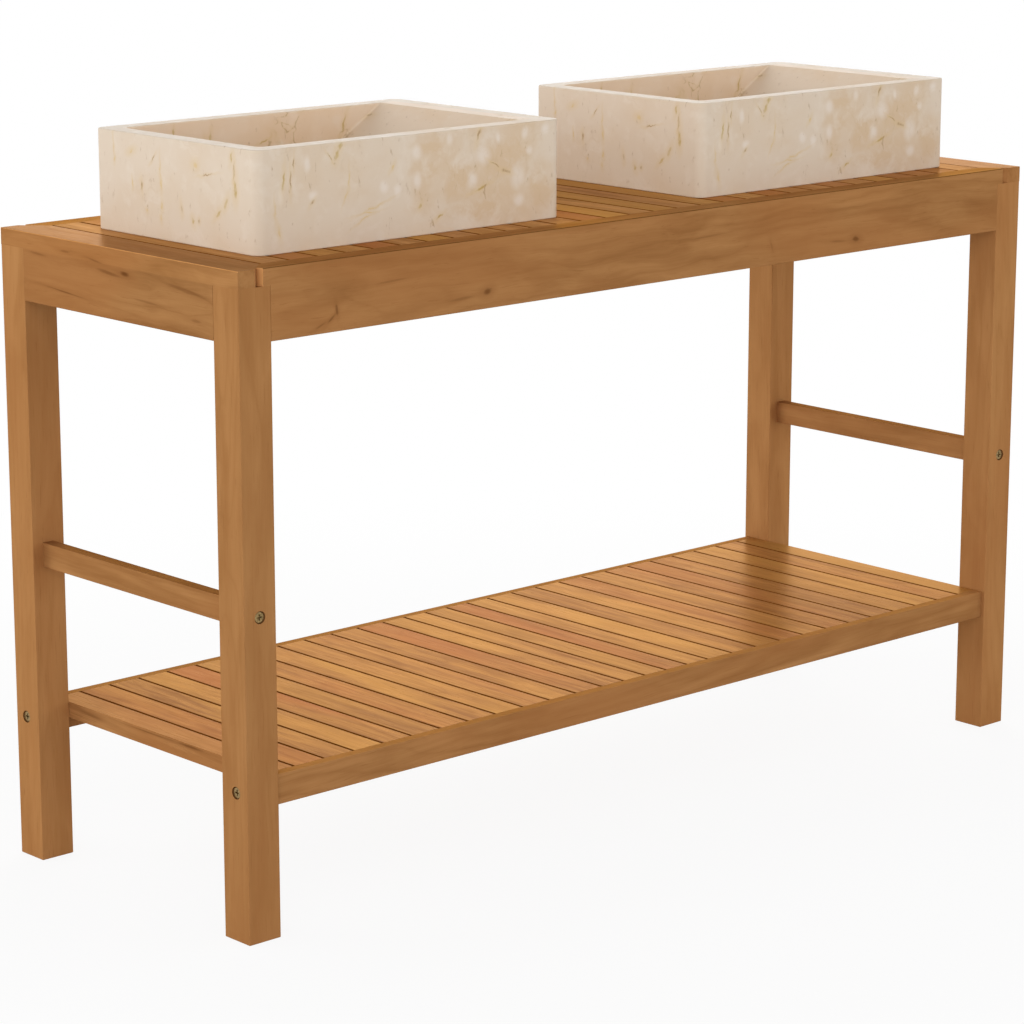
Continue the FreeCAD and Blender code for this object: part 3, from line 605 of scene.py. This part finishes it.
# Wall of a sink, and how soon the painted light inside the basin begins: a warmer, lighter tone for the light
# that bounces about inside it. The listed features reach as deep as the outer skin.
WALL = 25 * MM
BASIN_LIGHT_BLEND = 3 * MM
BASIN_LIGHT_SHARE = 0.45
OUTER_SKIN = (8 * MM, 16 * MM)

# Scales of the slow and the quick sway, and sways as (slow, quick), in metres.
SLOW_SCALE = 24.0
QUICK_SCALE = 120.0
MOTTLE_SWAY = (0.020, 0.004)
GRAIN_SWAY = (0.010, 0.0)
SPREAD_SWAY = (0.03, 0.0)
CLOUD_SWAY = (0.02, 0.0)
FOSSIL_SWAY = (0.008, 0.002)
VEIN_SWAY = (0.010, 0.006)
CRACK_SWAY = (0.02, 0.006)

# Noises of the stone: scale, detail, roughness and distortion.
MOTTLE_NOISE = (42.0, 4.0, 0.6, 0.3)
GRAIN_NOISE = (150.0, 3.0, 0.65, 0.4)
GRAIN_STRETCH = 0.35
SPREAD_NOISE = (9.0, 4.0, 0.55, 0.4)
CRACK_NOISE = (15.0, 3.0, 0.55, 0.3)
CLUSTER_NOISE = (8.0, 2.0, 0.5, 0.0)

# Ranges and shares of the layers of the stone.
SPREAD_RANGE = (0.42, 0.70)
SPREAD_SHARE = 0.8
SPREAD_END = 0.05
LEFT_SPREAD = 0.35
CLOUD_RANGE = (0.2, 1.1)
CLOUD_SHARE = 0.9
CLOUD_RAGGED = 1.5
PALE_RANGE = (0.48, 0.74)
PALE_SHARE = 0.5
FOSSIL_RANGE = (0.25, 1.45)
FOSSIL_SHARE = 0.56
FOSSIL_RAGGED = 0.9
CELL_SCALE = 26.0
CELL_PICK = (0.45, 1.0)
CELL_RADIUS = 0.34
CELL_RANGE = (-0.20, 0.06)
CELL_SHARE = 0.55
VEIN_BREAKS = (0.42, 0.56)
BROKEN_SHARE = 0.5
VEIN_HALO = (0.8, 3.0)
VEIN_HALO_SHARE = 0.30
VEIN_CORE = (0.3, 1.1)
VEIN_CORE_SHARE = 0.80
CLUSTER_RANGE = (0.52, 0.62)
CLUSTER_SHARES = (0.12, 0.7)
CRACK_HALO = (0.006, 0.034)
CRACK_HALO_SHARE = 0.4
CRACK_BREAKS = (0.40, 0.56)
CRACK_CORE = (0.003, 0.012)
CRACK_CORE_SHARE = 0.7
FLECK_GRAIN = (0.62, 0.74)
FLECK_MOTTLE = (0.60, 0.44)
FLECK_SHARE = 0.55
POLISH_RANGE = (0.3, 0.7)
POLISH_ROUGHNESS = (0.46, 0.56)
POLISH_LEVEL = 0.14
STONE_BUMP = (0.03, 0.0005)


class Marble(Paint):
    """Cream marble with tan clouds, pale fossils and short veins, set out from a sink's foot."""

    def __init__(self, name, low, high):
        super().__init__(name)
        foot = ((low.x + high.x) / 2, (low.y + high.y) / 2, low.z)
        self.left = low.x - foot[0]
        self.front = low.y - foot[1]
        self.inside = self.left + WALL, self.front + WALL
        self.at = self.mapped(self.place(), [-c for c in foot])
        self.slow = self.drift(self.at, SLOW_SCALE)
        self.quick = self.drift(self.at, QUICK_SCALE)
        self.mottle = self.noise(self.swayed(*MOTTLE_SWAY), *MOTTLE_NOISE)
        drawn_out = self.mapped(self.swayed(*GRAIN_SWAY), scale=(1, 1, GRAIN_STRETCH))
        self.grain = self.noise(drawn_out, *GRAIN_NOISE)
        self.colour = CREAM

    def swayed(self, slow, quick):
        """Coordinates that wander by the given amounts."""
        push = self.vector("ADD", self.vector("MULTIPLY", self.slow, (slow,) * 3),
                           self.vector("MULTIPLY", self.quick, (quick,) * 3))
        return self.vector("ADD", self.at, push)

    def nearest(self, vector, spots):
        """Distance from the nearest of some egg-shaped spots, 1 at a spot's edge."""
        least = None
        for centre, rotation, size in spots:
            far = self.far_from(vector, centre, rotation, size)
            least = far if least is None else self.math("MINIMUM", least, far)
        return least

    def on_front(self, x, z, length, width, lean=0.0):
        return (x * MM, self.front, z * MM), (0, math.radians(lean), 0), (width * MM, SPOT_DEPTH, length * MM)

    def on_back_wall(self, x, z, length, width, lean):
        centre, rotation, size = self.on_front(x, z, length, width, lean)
        return (centre[0], -self.inside[1], centre[2]), rotation, size

    def on_left(self, y, z, length, width, lean):
        return (self.left, y * MM, z * MM), (math.radians(-lean), 0, 0), (SPOT_DEPTH, width * MM, length * MM)

    def clouds(self):
        spread = self.noise(self.swayed(*SPREAD_SWAY), *SPREAD_NOISE)
        x = self.split(self.at)["X"]
        tan = self.math("MULTIPLY", self.span(spread, SPREAD_RANGE, (0.0, SPREAD_SHARE)),
                        self.span(x, (self.left, SPREAD_END), (LEFT_SPREAD, 1.0)))
        for spot in TAN_CLOUDS:
            far = self.far_from(self.swayed(*CLOUD_SWAY), *self.on_front(*spot))
            far = self.ragged(far, self.mottle, CLOUD_RAGGED)
            tan = self.math("MAXIMUM", tan, self.span(far, CLOUD_RANGE, (CLOUD_SHARE, 0.0)))
        self.tinge(tan, TAN)
        self.tinge(self.span(self.mottle, PALE_RANGE, (0.0, PALE_SHARE)), PALE)

    def basin(self):
        """Painted light inside the basin: a warmer, lighter tone for the light bouncing about in it."""
        spread = self.split(self.vector("ABSOLUTE", self.at))
        shares = [self.span(self.math("ADD", spread[axis], limit), (BASIN_LIGHT_BLEND, 0.0))
                  for axis, limit in zip("XY", self.inside)]
        self.tinge(self.math("MULTIPLY", self.math("MINIMUM", *shares), BASIN_LIGHT_SHARE), BASIN_LIGHT)

    def hidden_faces(self):
        """1 on the faces that the listed features don't reach, 0 on the front and left faces."""
        place = self.split(self.at)
        past_left = self.span(place["X"], [self.left + depth for depth in OUTER_SKIN])
        past_front = self.span(place["Y"], [self.front + depth for depth in OUTER_SKIN])
        return self.math("MINIMUM", past_left, past_front)

    def fossils(self):
        """The listed fossils, and others on the hidden faces."""
        swayed = self.swayed(*FOSSIL_SWAY)
        far = self.nearest(swayed, [self.on_front(*spot) for spot in PALE_FOSSILS])
        far = self.ragged(far, self.mottle, FOSSIL_RAGGED)
        self.tinge(self.span(far, FOSSIL_RANGE, (FOSSIL_SHARE, 0.0)), MILKY)
        cells = self.add("TexVoronoi", {"Vector": swayed, "Scale": CELL_SCALE}).outputs
        radius = self.span(self.split(cells["Color"])["X"], CELL_PICK, (0.0, CELL_RADIUS))
        blob = self.span(self.math("SUBTRACT", cells["Distance"], radius), CELL_RANGE, (CELL_SHARE, 0.0))
        self.tinge(self.math("MULTIPLY", blob, self.hidden_faces()), MILKY)

    def veins(self):
        """The listed veins, each tone in turn, with a gold halo."""
        bent = self.swayed(*VEIN_SWAY)
        marks = [(self.on_front(*row[:-1]), row[-1]) for row in FRONT_VEINS]
        marks += [(self.on_left(*row[:-1]), row[-1]) for row in LEFT_VEINS]
        marks += [(self.on_back_wall(*row[:-1]), row[-1]) for row in BASIN_MARKS]
        broken = self.span(self.grain, VEIN_BREAKS, (BROKEN_SHARE, 1.0))
        for tint in (GOLD, BROWN, OCHRE):
            far = self.nearest(bent, [spot for spot, tone in marks if tone is tint])
            self.tinge(self.span(far, VEIN_HALO, (VEIN_HALO_SHARE, 0.0)), GOLD)
            core = self.span(far, VEIN_CORE, (VEIN_CORE_SHARE, 0.0))
            self.tinge(self.math("MULTIPLY", core, broken), tint)

    def cracks(self):
        """Thin veins in clusters, all through the stone, fainter on the front and left faces."""
        ridge = self.noise(self.swayed(*CRACK_SWAY), *CRACK_NOISE)
        ridge = self.math("ABSOLUTE", self.math("SUBTRACT", ridge, 0.5))
        cluster = self.span(self.noise(self.at, *CLUSTER_NOISE), CLUSTER_RANGE)
        cluster = self.math("MULTIPLY", cluster, self.span(self.hidden_faces(), (0.0, 1.0), CLUSTER_SHARES))
        halo = self.span(ridge, CRACK_HALO, (CRACK_HALO_SHARE, 0.0))
        self.tinge(self.math("MULTIPLY", cluster, halo), GOLD)
        cluster = self.math("MULTIPLY", cluster, self.span(self.grain, CRACK_BREAKS))
        core = self.span(ridge, CRACK_CORE, (CRACK_CORE_SHARE, 0.0))
        self.tinge(self.math("MULTIPLY", cluster, core), BROWN)

    def flecks(self):
        """Short brown dashes where the mottling is dark."""
        dashes = self.span(self.grain, FLECK_GRAIN)
        dashes = self.math("MULTIPLY", dashes, self.span(self.mottle, FLECK_MOTTLE))
        self.tinge(self.math("MULTIPLY", dashes, FLECK_SHARE), BROWN)

    def polish(self):
        return self.surface(self.add("BsdfPrincipled", {
            "Base Color": self.colour,
            "Roughness": self.span(self.mottle, POLISH_RANGE, POLISH_ROUGHNESS),
            "Specular IOR Level": POLISH_LEVEL,
            "Normal": self.bump(self.mottle, *STONE_BUMP),
        }))


for side in SIDES:
    stone = Marble("stone_" + side, *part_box("sink_" + side))
    stone.clouds()
    # Painted light inside the basin.
    stone.basin()
    stone.fossils()
    stone.veins()
    stone.cracks()
    stone.flecks()
    dress("sink_" + side, stone.polish())

# Metals: noises as scale, detail, roughness and distortion, and what they do.
METAL_CLOUDS = (420.0, 3.0, 0.6, 0.2)
METAL_MARKS = (2600.0, 2.0, 0.6, 0.0)
CLOUD_TONES = (0.35, 0.68)
CLOUD_GLOSS = (0.3, 0.7)
CLOUD_ROUGHER = 0.16
METAL_BUMP = (0.10, 0.0001)
BRASS_BRIGHT = rgb(0.36, 0.25, 0.11)
BRASS_DULL = rgb(0.21, 0.14, 0.06)
BRASS_ROUGHNESS = 0.34
ZINC_BRIGHT = rgb(0.58, 0.58, 0.56)
ZINC_DULL = rgb(0.42, 0.42, 0.41)
ZINC_ROUGHNESS = 0.28


def metal(name, bright, dull, roughness):
    """Plated metal with a cloudy surface and fine turning marks."""
    g = Graph(bpy.data.materials.new(name))
    at = g.place()
    cloud = g.noise(at, *METAL_CLOUDS)
    marks = g.noise(at, *METAL_MARKS)
    return g.surface(g.add("BsdfPrincipled", {
        "Base Color": g.mix(g.span(cloud, CLOUD_TONES), bright, dull),
        "Metallic": 1.0,
        "Roughness": g.span(cloud, CLOUD_GLOSS, (roughness, roughness + CLOUD_ROUGHER)),
        "Normal": g.bump(marks, *METAL_BUMP),
    }))


plating = metal("screw_plating", BRASS_BRIGHT, BRASS_DULL, BRASS_ROUGHNESS)
for name in ("rung_screws", "shelf_screws"):
    dress(name, plating)
steel = metal("zinc_steel", ZINC_BRIGHT, ZINC_DULL, ZINC_ROUGHNESS)
for name in ("leg_bolts", "leg_washers", "leg_nuts", "top_screws"):
    dress(name, steel)

# Stage: a pale floor that shows the object's shadow near it and is white farther out.
FLOOR_HALF = 40.0
FLOOR_CORNERS = ((-1, -1), (1, -1), (1, 1), (-1, 1))
FLOOR_PALE = rgb(0.82, 0.82, 0.82)
FLOOR_SHOWN = rgb(0.95, 0.95, 0.95)
SHADOW_SHARE = 0.10
SHADOW_REACH = (0.8, 1.8)
mesh = bpy.data.meshes.new("floor")
mesh.from_pydata([(x * FLOOR_HALF, y * FLOOR_HALF, 0.0) for x, y in FLOOR_CORNERS], [], [(0, 1, 2, 3)])
floor = bpy.data.objects.new("floor", mesh)
bpy.context.scene.collection.objects.link(floor)
g = Graph(bpy.data.materials.new("pale_floor"))
far = g.add("VectorMath", {0: g.place()}, operation="LENGTH").outputs["Value"]
share = g.span(far, SHADOW_REACH, (SHADOW_SHARE, 0.0))
pale_floor = g.add("BsdfDiffuse", {"Color": FLOOR_PALE})
lit_floor = g.add("BsdfDiffuse", {"Color": FLOOR_SHOWN})
glow = g.add("Emission", {"Color": WHITE, "Strength": 1.0})
shown = g.add("MixShader", {0: share, 1: glow.outputs[0], 2: lit_floor.outputs[0]})
both = g.add("MixShader", {0: g.seen(), 1: pale_floor.outputs[0], 2: shown.outputs[0]})
floor.data.materials.append(g.surface(both))

# Surroundings: white to look at, and a soft light that is brighter at the horizon than overhead.
HORIZON_LEVEL = 1.65
ZENITH_LEVEL = 0.24
SKY_RANGE = (0.15, 0.85)
g = Graph(bpy.data.worlds.new("studio"))
height = g.split(g.add("TexCoord").outputs["Generated"])["Z"]
lit = g.span(height, SKY_RANGE, (HORIZON_LEVEL, ZENITH_LEVEL))
unseen = g.math("SUBTRACT", 1.0, g.seen())
strength = g.math("SUBTRACT", 1.0, g.math("MULTIPLY", unseen, g.math("SUBTRACT", 1.0, lit)))
background = g.add("Background", {"Color": WHITE, "Strength": strength})
bpy.context.scene.world = g.surface(background, "OutputWorld")

# Soft lamps round the object: name, place, width and power. All face its middle.
LAMP_TARGET = Vector((0.0, 0.0, 0.5))
LAMPS = (
    ("front_left_lamp", (-6.6, -3.8, 1.3), 4.0, 66.0),
    ("high_lamp", (-4.6, -4.4, 4.6), 4.0, 50.0),
    ("back_left_lamp", (-5.5, 5.2, 1.6), 4.0, 92.0),
    ("back_right_lamp", (2.4, 2.6, 2.2), 3.0, 45.0),
)
for name, place, size, power in LAMPS:
    data = bpy.data.lights.new(name, "AREA")
    data.shape = "DISK"
    data.size = size
    data.energy = power
    lamp = bpy.data.objects.new(name, data)
    lamp.location = place
    lamp.rotation_euler = (LAMP_TARGET - Vector(place)).to_track_quat("-Z", "Y").to_euler()
    bpy.context.scene.collection.objects.link(lamp)

# Camera, solved from the photo's lines: lens and sensor in millimetres, tilt and turn in degrees.
LENS = 120.126
SENSOR = 36.0
FAR_CLIP = 200.0
EYE = (-2.9076, -3.1155, 1.3511)
LOOK_DOWN = 13.069
LOOK_RIGHT = 42.506
camera = bpy.data.cameras.new("camera")
camera.lens = LENS
camera.sensor_width = SENSOR
camera.clip_end = FAR_CLIP
eye = bpy.data.objects.new("camera", camera)
eye.location = EYE
eye.rotation_euler = (math.radians(90.0 - LOOK_DOWN), 0.0, math.radians(-LOOK_RIGHT))
bpy.context.scene.collection.objects.link(eye)
bpy.context.scene.camera = eye
bpy.context.scene.view_settings.view_transform = "Standard"
